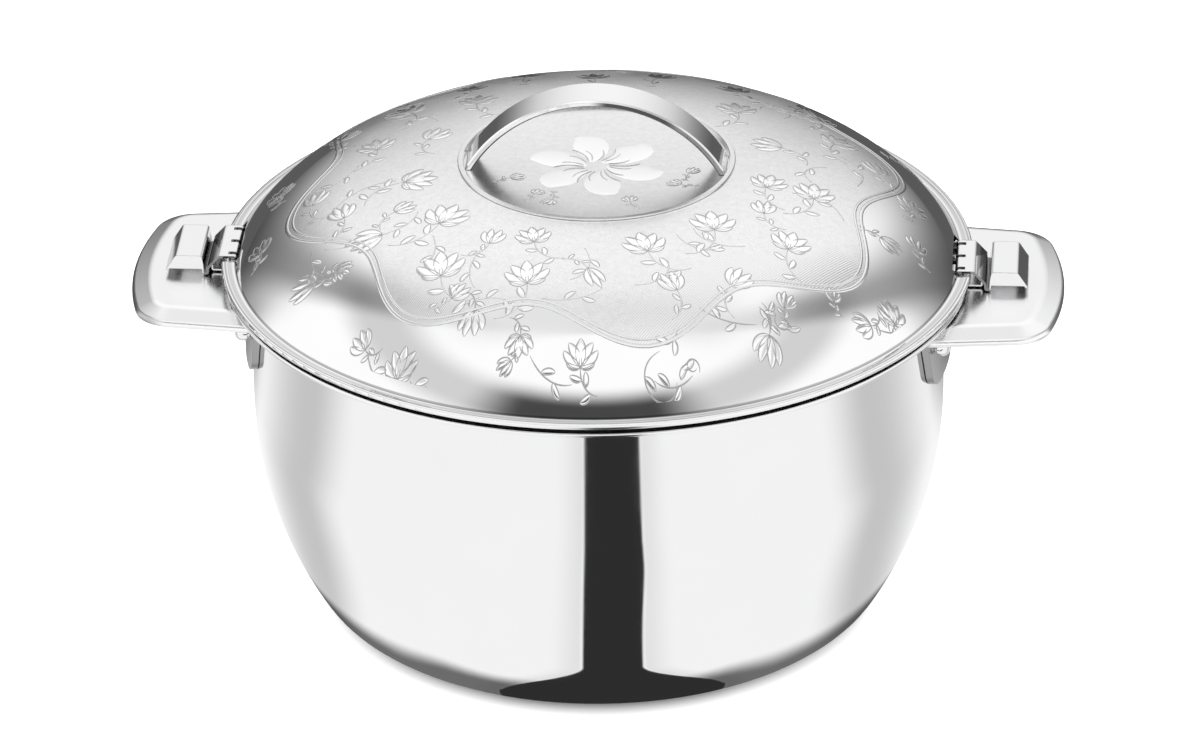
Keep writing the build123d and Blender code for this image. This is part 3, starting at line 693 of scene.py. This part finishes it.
SKIRT_FLOWERS = (
    (-102, -67, 172, 16, TULIP, -1.6), (-94, -66, 320, 12, LOTUS, 1.4),
    (-80, -105, 118, 12, TULIP, 1.9), (-67, -119, 72, 17, LOTUS, -1.2),
    (-39, -103, 262, 15, TULIP, 1.3), (-21, -115, 265, 14, LOTUS, 1.6),
    (-24, -123, 215, 9, TULIP, 1.6), (2, -126, 92, 17, LOTUS, 1.7), (71, -101, 265, 16, TULIP, 1.3),
    (76, -88, 80, 11, TULIP, 1.5), (94, -76, 100, 9, TULIP, 1.5), (108, -76, 215, 12, TULIP, 1.7),
    (117, -68, 118, 15, LOTUS, -1.6), (110, -30, 340, 13, TULIP, 1.6), (120, 3, 80, 16, LOTUS, 1.5),
    (124, -24, 100, 12, TULIP, 1.3), (-127, -30, 100, 13, TULIP, -1.4), (-124, 8, 80, 15, LOTUS, 1.5),
    (-114, 58, 150, 15, LOTUS, -1.5), (-92, 90, 120, 15, TULIP, 1.4), (-54, 116, 100, 16, LOTUS, 1.6),
    (-20, 126, 200, 14, TULIP, -1.6), (22, 124, 80, 16, LOTUS, 1.5), (58, 114, 60, 15, TULIP, 1.5),
    (88, 92, 50, 16, LOTUS, -1.5), (115, 56, 30, 15, TULIP, 1.4))
# Winding stems without a flower: start in mm, heading in degrees, length in mm, winding in radians.
SKIRT_VINES = (
    (37, -110, 260, 9, -1.6), (31, -118, 215, 30, 4.4), (43.5, -123, 230, 16, -1.4),
    (46, -121.5, 90, 13, 6.2), (71, -100, 80, 12, 1.2), (73, -92, 250, 14, 5.6),
    (66, -99, 200, 22, -0.9), (-105, -48, 265, 20, 1.0), (-79, -106, 280, 22, 1.5),
    (-17, -122, 300, 20, 1.3), (109, -76, 20, 20, 1.4), (-62, -121, 300, 8, 1.4))
GROUND_VINES = (
    (-38, -70, 240, 24, 1.1), (0, -72, 300, 22, -1.8), (-44, -100, 20, 26, -1.4),
    (-100, -30, 60, 30, -1.3), (-58, -60, 290, 20, -1.2), (96, -30, 110, 26, 1.8),
    (60, -62, 200, 24, -1.7), (20, -92, 10, 22, 1.8), (-92, 4, 250, 24, -1.4),
    (100, 0, 70, 26, 1.6), (-64, 36, 120, 24, 1.6), (70, 50, 60, 26, 4.0),
    (-100, -52, 330, 24, 1.2), (34, -60, 300, 20, 1.7), (-14, -100, 350, 24, 1.0),
    (88, 8, 200, 20, 2.2))
# Small sprigs in the dish: place in mm, heading in degrees, width in mm.
DISH_SPRIGS = ((-32, -13, 20, 9), (-22, -27, 60, 8), (-15, -31, 250, 9), (15, -32, 100, 9),
               (33, -16, 150, 9), (36, -6, 60, 8))
PLAIN_BEYOND = 60       # flowers farther back than this, in mm, have no outline

# Leaves: the stem's steps, and for each leaf its step and side; angle off the stem; bend; size.
SPRIG_STEPS, SPRIG_LEAVES = 18, ((6, 1), (10, -1), (14, 1))
SPRIG_LEAN, SPRIG_BEND = 0.9, -0.6
SPRIG_LEAF, SPRIG_LEAF_WIDTH = 0.28, 0.11       # as shares of the flower's width
VINE_STEPS, VINE_LEAVES = 22, ((8, 1), (14, -1))
VINE_LEAN, VINE_BEND = 0.8, -0.7
VINE_LEAF = 5.5 * MM
VINE_LEAF_WIDTH = 0.36 * VINE_LEAF
SKIRT_STEM = 0.7            # stem of a skirt flower, as a share of its width

# Flower in the dish: a pinwheel of six petals, each with three strokes at its root.
DISH_PETALS = 6
DISH_TURN = 8               # degrees
DISH_PETAL_FROM, DISH_PETAL_LENGTH, DISH_PETAL_WIDTH = 4.0 * MM, 24 * MM, 17 * MM
DISH_PETAL_LEAN, DISH_PETAL_BEND = 30, 1.25
STROKE_FROM, STROKE_LEAN = 5.0 * MM, 25
DISH_STROKES = ((-14, 9), (2, 12), (18, 9))     # degrees off the petal, and length in mm


def sprig(flower, petals, outlines, stems, stem=1.0):
    """One flower on its winding stem, with leaves on both sides of it."""
    x, y, degrees, width, kind, winding = flower
    spot = (x * MM, y * MM)
    heading = math.radians(degrees)
    size = width * MM
    path = curve(spot, heading + math.pi, stem * size, winding, SPRIG_STEPS)
    shapes = []
    for k, side in SPRIG_LEAVES:
        turn = math.atan2(path[k][1] - path[k + 2][1], path[k][0] - path[k + 2][0])
        shapes.append(spine(path[k], turn + side * SPRIG_LEAN, SPRIG_LEAF * size,
                            SPRIG_LEAF_WIDTH * size, side * SPRIG_BEND))
    shapes += [spine(spot, heading + math.radians(off), long * size, wide * size, bend)
               for off, long, wide, bend in kind]
    stems.ribbon(path, LINE_W * 0.9)
    for rank, shape in enumerate(shapes):
        petals.petal(shape, PETAL_H * (0.7 + 0.07 * rank))
        if y < PLAIN_BEYOND:
            outlines.outline(shape, height=LINE_H * (0.9 + 0.08 * rank))


def vine(start, petals, outlines, stems):
    """A winding stem with one leaf on each side."""
    x, y, degrees, length, winding = start
    path = curve((x * MM, y * MM), math.radians(degrees), length * MM, winding, VINE_STEPS)
    stems.ribbon(path, LINE_W * 0.9)
    for k, side in VINE_LEAVES:
        turn = math.atan2(path[k + 1][1] - path[k][1], path[k + 1][0] - path[k][0])
        leaf = spine(path[k], turn + side * VINE_LEAN, VINE_LEAF, VINE_LEAF_WIDTH, side * VINE_BEND)
        petals.petal(leaf, PETAL_H * 0.8)
        outlines.outline(leaf)


def lid_border():
    """Two wavy ridges round the lid's ground, drawn lobe by lobe."""
    relief = Relief(DOME)
    lobe_turn = 360 / BORDER_LOBES
    for step in (0, 1):
        for lobe in range(BORDER_LOBES):
            start = math.degrees(BORDER_TURN) + (lobe + 0.5) * lobe_turn
            path = []
            for k in range(BORDER_STEPS + 1):
                angle = start + k * lobe_turn / BORDER_STEPS
                path.append(polar(border_radius(angle) - step * BORDER_STEP, angle))
            relief.ribbon(path, LINE_W * (2.2 - 0.7 * step), LINE_H * 1.8, taper=1.0)
    relief.finish("lid_border", BORDER, "polished_steel")


def lid_flowers():
    """Flowers and winding stems inside the border."""
    petals, outlines, vines = Relief(DOME), Relief(DOME), Relief(DOME)
    for flower in GROUND_FLOWERS:
        sprig(flower, petals, outlines, vines)
    for start in GROUND_VINES:
        vine(start, petals, outlines, vines)
    petals.finish("lid_flowers", BRIGHT, "polished_steel")
    outlines.finish("lid_flower_outlines", FINE_CUT, "etched_steel")
    vines.finish("lid_vines", BORDER, "polished_steel")


def skirt_engraving():
    """Flowers and stems engraved on the polished skirt outside the border."""
    petals, outlines = Relief(DOME), Relief(DOME)
    for flower in SKIRT_FLOWERS:
        sprig(flower, petals, outlines, outlines, SKIRT_STEM)
    for start in SKIRT_VINES:
        vine(start, petals, outlines, outlines)
    petals.finish("skirt_petals", BRIGHT, "polished_steel")
    outlines.finish("skirt_engraving", DEEP_CUT, "etched_steel")


def dish_flower():
    """The pinwheel in the dish, and the small sprigs before it."""
    petals, strokes = Relief(DISH), Relief(DISH)
    for k in range(DISH_PETALS):
        angle = k * 360 / DISH_PETALS + DISH_TURN
        heading = math.radians(angle - DISH_PETAL_LEAN)
        shape = spine(polar(DISH_PETAL_FROM, angle), heading, DISH_PETAL_LENGTH, DISH_PETAL_WIDTH,
                      DISH_PETAL_BEND, blunt=0.5, fullest=0.62)
        petals.petal(shape, PETAL_H * (1.0 + 0.1 * (k % 2)))
        for lean, reach in DISH_STROKES:
            root = polar(STROKE_FROM, angle + lean)
            towards = math.radians(angle + lean - STROKE_LEAN)
            path = curve(root, towards, reach * MM, curl=1.0, steps=8)
            strokes.ribbon(path, LINE_W * 1.2, LINE_H * 2.2)
    for x, y, degrees, width in DISH_SPRIGS:
        sprig((x, y, degrees, width, TULIP, 1.4), petals, strokes, strokes)
    petals.finish("dish_flower", BRIGHT, "polished_steel")
    strokes.finish("dish_flower_strokes", STROKE, "etched_steel")


# ---------------------------------------------------------------- studio

def look_from():
    """Where the camera stands."""
    level = math.cos(CAMERA_ELEVATION)
    offset = Vector((level * math.sin(CAMERA_AZIMUTH), -level * math.cos(CAMERA_AZIMUTH),
                     math.sin(CAMERA_ELEVATION)))
    return LOOK_AT + offset * CAMERA_DISTANCE


def camera():
    """The photograph's camera: aimed at the pot, then tilted, turned and rolled a little."""
    data = bpy.data.cameras.new("camera")
    data.sensor_width = SENSOR_WIDTH
    data.lens = LENS
    data.clip_end = 50
    thing = bpy.data.objects.new("camera", data)
    bpy.context.scene.collection.objects.link(thing)
    place = look_from()
    facing = (LOOK_AT - place).to_track_quat("-Z", "Y").to_matrix()
    tilt = Matrix.Rotation(-AIM_BELOW_CENTRE, 3, "X") @ Matrix.Rotation(-AIM_RIGHT, 3, "Y")
    roll = Matrix.Rotation(CAMERA_ROLL, 3, "Z")
    thing.matrix_world = Matrix.Translation(place) @ (facing @ tilt @ roll).to_4x4()
    bpy.context.scene.camera = thing


def degrees_round(nodes, x, y):
    """Degrees from -Y, positive towards +X."""
    return nodes.product(nodes.math("ARCTAN2", x, nodes.product(y, -1.0)), 180 / math.pi)


def stripe_in_steel(nodes, radius, turn):
    """1 where the steel sees white floor, 0 in the black stripe before the pot."""
    wider = nodes.smooth(radius, *STRIPE_WIDENS, 0.0, STRIPE_WIDER)
    centred = nodes.math("SUBTRACT", nodes.math("SUBTRACT", turn, STRIPE_AT), wider)
    off = nodes.math("SUBTRACT", nodes.math("ABSOLUTE", centred), wider)
    over = nodes.math("SUBTRACT", off, nodes.smooth(radius, FLARE_IN, FLARE_OUT, FLARE, 0.0))
    lit = nodes.smooth(over, STRIPE_HALF - STRIPE_EDGE, STRIPE_HALF + STRIPE_EDGE)
    halo = nodes.smooth(over, STRIPE_HALF, STRIPE_HALF + HALO_WIDTH, STRIPE_HALO, 1.0)
    line = nodes.smooth(over, STRIPE_HALF + STRIPE_EDGE, STRIPE_HALF + LINE_END,
                        STRIPE_LINE, 0.0)
    return nodes.product(lit, nodes.math("ADD", halo, line))


def side_dip_in_steel(nodes, radius, turn):
    """Soft grey towards the pot's sides; it swings forwards near the foot."""
    centre = nodes.smooth(radius, *DIP_RADIUS, *DIP_AT)
    away = nodes.math("SUBTRACT", nodes.math("ABSOLUTE", turn), centre)
    dip = nodes.product(nodes.smooth(away, *DIP_FRONT), nodes.smooth(away, *DIP_BACK, SIDE_DIP, 0.0))
    return nodes.less(nodes.product(dip, nodes.smooth(radius, *DIP_FADES, 1.0, 0.0)))


def foot_ring_in_steel(nodes, radius, turn):
    """Painted shadow: dark ring round the belly's lower edge, standing in for the shadow under the
    foot.
    """
    aside = nodes.math("ABSOLUTE", turn)
    width = nodes.smooth(aside, *FOOT_WIDTH_TURN, *FOOT_RING_WIDTH)
    ring = nodes.smooth(aside, *FOOT_RING_TURN, *FOOT_RING)
    outer = nodes.smooth(nodes.math("DIVIDE", nodes.math("SUBTRACT", radius, ring), width), 0, 1)
    return nodes.math("MULTIPLY_ADD", outer, 1.0 - FOOT_RING_LIGHT, FOOT_RING_LIGHT)


def studio_floor():
    """White floor.  The steel sees it with a black stripe in front and dark far behind."""
    mesh = bpy.data.meshes.new("floor")
    half = FLOOR_HALF
    corners = [(-half, -half, 0), (half, -half, 0), (half, half, 0), (-half, half, 0)]
    mesh.from_pydata(corners, [], [(0, 1, 2, 3)])
    material = bpy.data.materials.new("studio floor")
    material.use_nodes = True
    nodes = Nodes(material.node_tree)
    output = nodes.add("ShaderNodeOutputMaterial")
    x, y, _ = nodes.split(nodes.place())
    radius = nodes.length(x, y)
    turn = degrees_round(nodes, x, y)
    far_behind = nodes.product(nodes.smooth(nodes.math("ABSOLUTE", turn), *BEHIND),
                               nodes.smooth(y, *FAR_BEHIND_Y, 0.0, FAR_BEHIND_DARK))
    light = nodes.product(stripe_in_steel(nodes, radius, turn), side_dip_in_steel(nodes, radius, turn),
                          foot_ring_in_steel(nodes, radius, turn), nodes.less(far_behind))
    seen = nodes.add("ShaderNodeEmission")
    nodes.link(nodes.math("MULTIPLY_ADD", light, STEEL_FLOOR, STRIPE_GLOW), seen.inputs["Strength"])
    matt = nodes.add("ShaderNodeBsdfDiffuse")
    matt.inputs["Color"].default_value = (PAPER, PAPER, PAPER, 1)
    path = nodes.add("ShaderNodeLightPath")
    glow = nodes.add("ShaderNodeEmission")
    spread = nodes.smooth(radius, GLOW_FROM, GLOW_TO, 0.0, FLOOR_GLOW)
    nodes.link(nodes.product(path.outputs["Is Camera Ray"], spread), glow.inputs["Strength"])
    paper = nodes.add("ShaderNodeAddShader")
    nodes.link(matt.outputs[0], paper.inputs[0])
    nodes.link(glow.outputs[0], paper.inputs[1])
    mixed = nodes.add("ShaderNodeMixShader")
    nodes.link(path.outputs["Is Glossy Ray"], mixed.inputs[0])
    nodes.link(paper.outputs[0], mixed.inputs[1])
    nodes.link(seen.outputs[0], mixed.inputs[2])
    nodes.link(mixed.outputs[0], output.inputs["Surface"])
    mesh.materials.append(material)
    floor = bpy.data.objects.new("floor", mesh)
    floor.location.z = -FLOOR_DROP
    bpy.context.scene.collection.objects.link(floor)


def room_in_steel(nodes):
    """Brightness of the room that the steel sees, by direction.

    White panels with a dark gap over the lid's front, a slanting seam, and dark low down behind.
    """
    x, y, z = nodes.split(nodes.add("ShaderNodeTexCoord").outputs["Generated"])
    rise = nodes.product(nodes.math("ARCSINE", z), 180 / math.pi)
    aside = nodes.math("ABSOLUTE", degrees_round(nodes, x, y))
    gap = nodes.product(nodes.smooth(rise, *GAP_OPENS), nodes.smooth(rise, *GAP_CLOSES, 1, 0))
    depth = nodes.product(nodes.smooth(aside, *GAP_ASIDE, *GAP_DEPTH),
                          nodes.smooth(aside, *GAP_ENDS, 1, 0))
    middle = nodes.math("MULTIPLY_ADD", rise, SEAM_LEAN, SEAM_ASIDE)
    from_seam = nodes.math("SUBTRACT", aside, middle)
    seam = nodes.product(nodes.smooth(from_seam, *SEAM_FRONT),
                         nodes.smooth(from_seam, *SEAM_BACK, 1, 0),
                         nodes.smooth(rise, *SEAM_FADES, SEAM_DEPTH, 0.0))
    horizon = nodes.smooth(rise, *HORIZON_RISE, *HORIZON_LIGHT)
    behind = nodes.smooth(aside, *BEHIND)
    dimmer = nodes.math("SUBTRACT", horizon, FRONT_LIGHT)
    horizon = nodes.math("MULTIPLY_ADD", behind, dimmer, FRONT_LIGHT)
    top = nodes.product(nodes.smooth(rise, *TOP_RISE, 0.0, TOP_DIM), nodes.smooth(aside, *TOP_ASIDE))
    return nodes.product(horizon, nodes.less(nodes.product(gap, depth)), nodes.less(seam),
                         nodes.less(top))


def studio_world():
    """Soft white room.  The steel sees its panels, seams and horizon; the camera sees plain white."""
    world = bpy.data.worlds.new("studio")
    bpy.context.scene.world = world
    world.use_nodes = True
    nodes = Nodes(world.node_tree)
    output = nodes.add("ShaderNodeOutputWorld")
    panels = nodes.add("ShaderNodeBackground")
    nodes.link(room_in_steel(nodes), panels.inputs["Strength"])
    room = nodes.add("ShaderNodeBackground")
    room.inputs["Strength"].default_value = ROOM_LIGHT
    plain = nodes.add("ShaderNodeBackground")
    plain.inputs["Strength"].default_value = 1.0
    for background in (panels, room, plain):
        background.inputs["Color"].default_value = (1, 1, 1, 1)
    path = nodes.add("ShaderNodeLightPath")
    first = nodes.add("ShaderNodeMixShader")
    nodes.link(path.outputs["Is Glossy Ray"], first.inputs[0])
    nodes.link(room.outputs[0], first.inputs[1])
    nodes.link(panels.outputs[0], first.inputs[2])
    second = nodes.add("ShaderNodeMixShader")
    nodes.link(path.outputs["Is Camera Ray"], second.inputs[0])
    nodes.link(first.outputs[0], second.inputs[1])
    nodes.link(plain.outputs[0], second.inputs[2])
    nodes.link(second.outputs[0], output.inputs["Surface"])


def soft_lamp():
    """A wide soft lamp overhead, which the steel doesn't mirror."""
    data = bpy.data.lights.new("overhead", "AREA")
    data.shape = "DISK"
    data.size = LAMP_SIZE
    data.energy = LAMP_WATTS
    lamp = bpy.data.objects.new("overhead", data)
    lamp.location = LAMP_AT
    lamp.visible_glossy = False
    bpy.context.scene.collection.objects.link(lamp)


def dress(names, material):
    """Gives every material slot of the named CAD pieces one material."""
    for name in names:
        for slot in NODES[name].material_slots:
            slot.material = material


# ---------------------------------------------------------------- make it

bpy.context.scene.view_settings.view_transform = "Standard"
camera()
studio_floor()
studio_world()
soft_lamp()

MIRROR = polished_steel("mirror steel")
BRIGHT = polished_steel("polished ornament", (0.99, 0.99, 0.99), 0.09, 0.04, far_ornament_painted_shade)
SATIN = polished_steel("satin tray steel", (0.95, 0.95, 0.955), 0.20, 0.06, tray_painted_shade)
CLIP = polished_steel("clip steel", shade=clip_painted_shade)
STRAP = polished_steel("strap steel", (0.985, 0.985, 0.985), shade=strap_painted_shade)
DEEP_CUT = cut_line("engraved line", 0.44, 0.56)
FINE_CUT = cut_line("fine outline", 0.50, 0.62)
STROKE = cut_line("soft stroke", 0.74, 0.82)
BORDER = polished_steel("border line", (0.86, 0.86, 0.865), 0.12, 0.05)
PLAIN = spun_steel("pressed steel", 0.74, 0.84)
# Painted shade: near-black steel for the hinge brackets, standing in for the shade they lie in.
SHADED = spun_steel("shaded hinge steel", 0.04, 0.08)

dress(("inner_bowl",), polished_steel("bowl steel", roughness=0.14))
dress(("outer_shell", "handle_rivets_left", "handle_rivets_right"), MIRROR)
dress(("latch_clip_left", "latch_clip_right"), CLIP)
dress(("side_handle_left", "side_handle_right"), SATIN)
dress(("lid_handle",), STRAP)
dress(("lid_dome",), etched_lid_steel())
dress(("lid_dish",), satin_steel("satin dish steel", (0.88, 0.88, 0.885), 0.20, 0.27, 0.25))
dress(("lid_inner_pan", "hinge_pin_left", "hinge_pin_right"), PLAIN)
dress(("latch_hook_left", "latch_hook_right"), PLAIN)
# The hinge brackets get the painted-shade steel.
dress(("hinge_bracket_left", "hinge_bracket_right"), SHADED)
dress(("lid_gasket",), rubber("seal rubber", (0.008, 0.008, 0.009), (0.02, 0.02, 0.021)))
dress(("base_plug",), rubber("plug rubber", (0.05, 0.05, 0.052), (0.09, 0.09, 0.092)))
dress(("body_foam", "lid_foam"), foam("insulation foam"))

DOME = Skin("lid_dome")
DISH = Skin("lid_dish")
lid_border()
lid_flowers()
skirt_engraving()
dish_flower()
